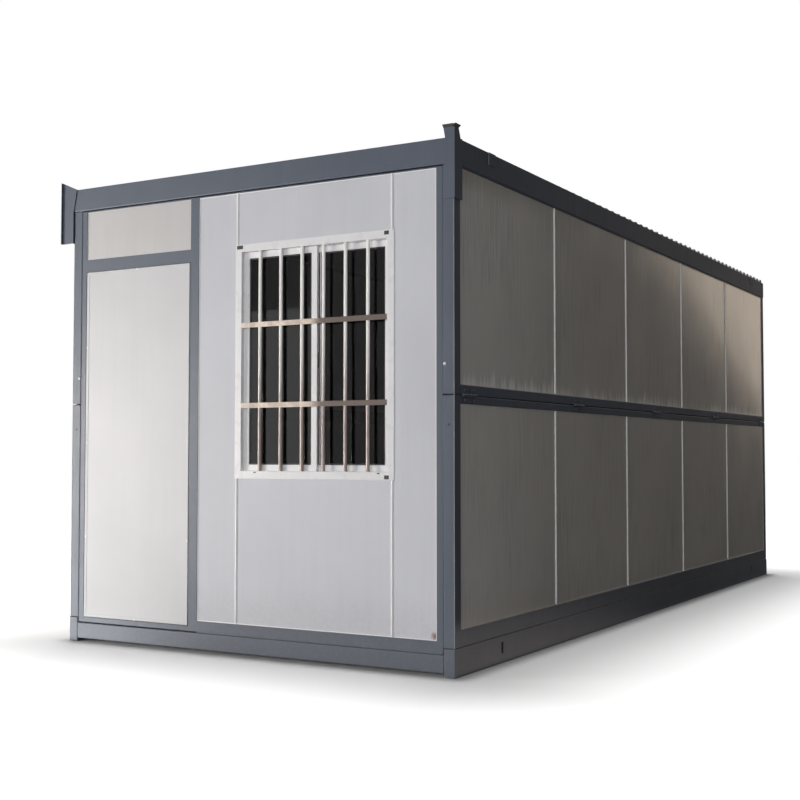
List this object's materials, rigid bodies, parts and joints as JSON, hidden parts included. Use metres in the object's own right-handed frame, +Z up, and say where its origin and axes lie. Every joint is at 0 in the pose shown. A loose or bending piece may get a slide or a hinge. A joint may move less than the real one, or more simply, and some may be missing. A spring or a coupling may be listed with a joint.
{
  "type": "folding container house",
  "caption": "Steel-framed folding container house with side walls hinged at mid height, end walls that swing up under a ribbed roof, a door, and a sliding window behind an upright tube guard.",
  "frame": {"origin": "on the ground under the middle of the house, at the bottom of the middle floor joist", "axes": "+Z up, -Y towards the front with the door and window, +X towards the right side wall"},
  "size_m": [2.513, 5.867, 2.586],
  "materials": {
    "steel": "satin grey paint",
    "side_panel": "coated sheet, weathered",
    "front_panel": "coated sheet",
    "door": "coated sheet",
    "joint_strip": "white coated",
    "window_frame": "white",
    "glass": "dark",
    "guard": "polished tube",
    "floor": "boards",
    "roof_sheet": "ribbed sheet",
    "ceiling": "white coated",
    "pin": "plain"
  },
  "bodies": {
    "house": {"base_front_beam": "steel", "base_rear_beam": "steel", "base_left_beam": "steel", "base_right_beam": "steel", "floor_joists": "steel", "floor_deck": "floor", "left_lower_frame": "steel", "left_upper_frame": "steel", "right_lower_frame": "steel", "right_upper_frame": "steel", "left_lower_panels": "side_panel", "left_upper_panels": "side_panel", "right_lower_panels": "side_panel", "right_upper_panels": "side_panel", "left_joint_strips": "joint_strip", "right_joint_strips": "joint_strip", "left_fold_hinges": "steel", "right_fold_hinges": "steel", "roof_front_beam": "steel", "roof_rear_beam": "steel", "roof_left_beam": "steel", "roof_right_beam": "steel", "roof_joists": "steel", "ceiling_panel": "ceiling", "roof_sheet": "roof_sheet", "front_left_guide": "steel", "front_right_guide": "steel", "front_wall_hinges": "pin", "rear_wall_hinges": "pin"},
    "front_wall": {"front_wall_frame": "steel", "front_wall_panels": "front_panel", "transom_panel": "front_panel", "front_joint_strips": "joint_strip", "window_frame": "window_frame", "window_sashes": "window_frame", "window_glass": "glass", "window_guard": "guard", "door_pivots": "pin"},
    "door": {"door_leaf": "door"},
    "rear_wall": {"rear_wall_frame": "steel", "rear_wall_panels": "front_panel", "rear_joint_strips": "joint_strip"}
  },
  "joints": [
    {"name": "front_wall_swing", "type": "hinge", "parent": "house", "child": "front_wall", "pos_m": [0, -2.846, 2.376], "axis": [1, 0, 0], "range_deg": [0, 90]},
    {"name": "rear_wall_swing", "type": "hinge", "parent": "house", "child": "rear_wall", "pos_m": [0, 2.846, 2.376], "axis": [-1, 0, 0], "range_deg": [0, 90]},
    {"name": "door_swing", "type": "hinge", "parent": "front_wall", "child": "door", "pos_m": [-1.0925, -2.914, 0], "axis": [0, 0, -1], "range_deg": [0, 90]}
  ]
}
